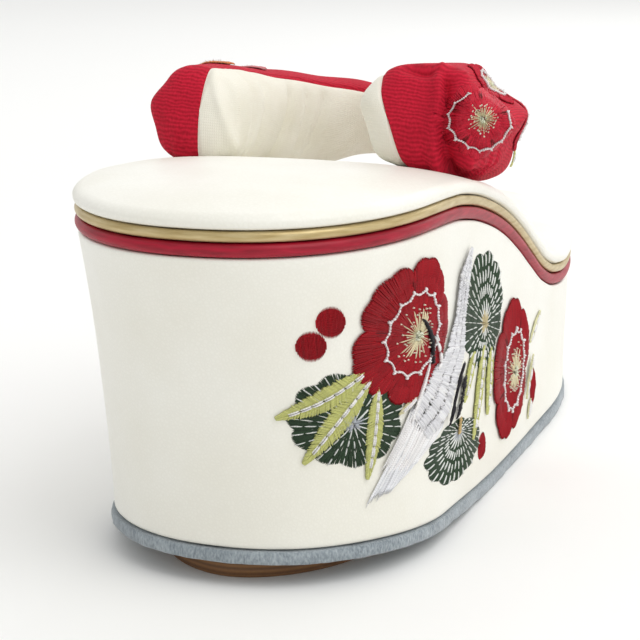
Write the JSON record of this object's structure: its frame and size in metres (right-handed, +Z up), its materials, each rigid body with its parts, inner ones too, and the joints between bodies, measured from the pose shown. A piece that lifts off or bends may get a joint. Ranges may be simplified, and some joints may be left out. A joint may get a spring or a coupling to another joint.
{
  "type": "platform zori sandal",
  "caption": "Right platform zori: a high covered body with an S-curved waist, two thin coloured layers, a crowned footbed, and a padded V strap held by a thong.",
  "frame": {"origin": "centre of the bounding box, on the floor the sandal stands on", "axes": "+Y from heel to toe, +Z up, +X towards the wearer's right, which is the outer side of this right shoe"},
  "size_m": [0.0918, 0.24, 0.1054],
  "materials": {
    "lift_leather": "satin",
    "suede": "matte, brushed",
    "cream_leather": "satin, fine grain",
    "red_leather": "satin",
    "gold_leather": "satin, metallic",
    "red_crepe": "matte woven"
  },
  "bodies": {
    "root": {"heel_lift": "lift_leather", "outsole": "suede", "platform_body": "cream_leather", "red_layer": "red_leather", "gold_layer": "gold_leather", "footbed": "cream_leather", "strap": "red_crepe", "toe_thong": "red_crepe"}
  },
  "joints": []
}
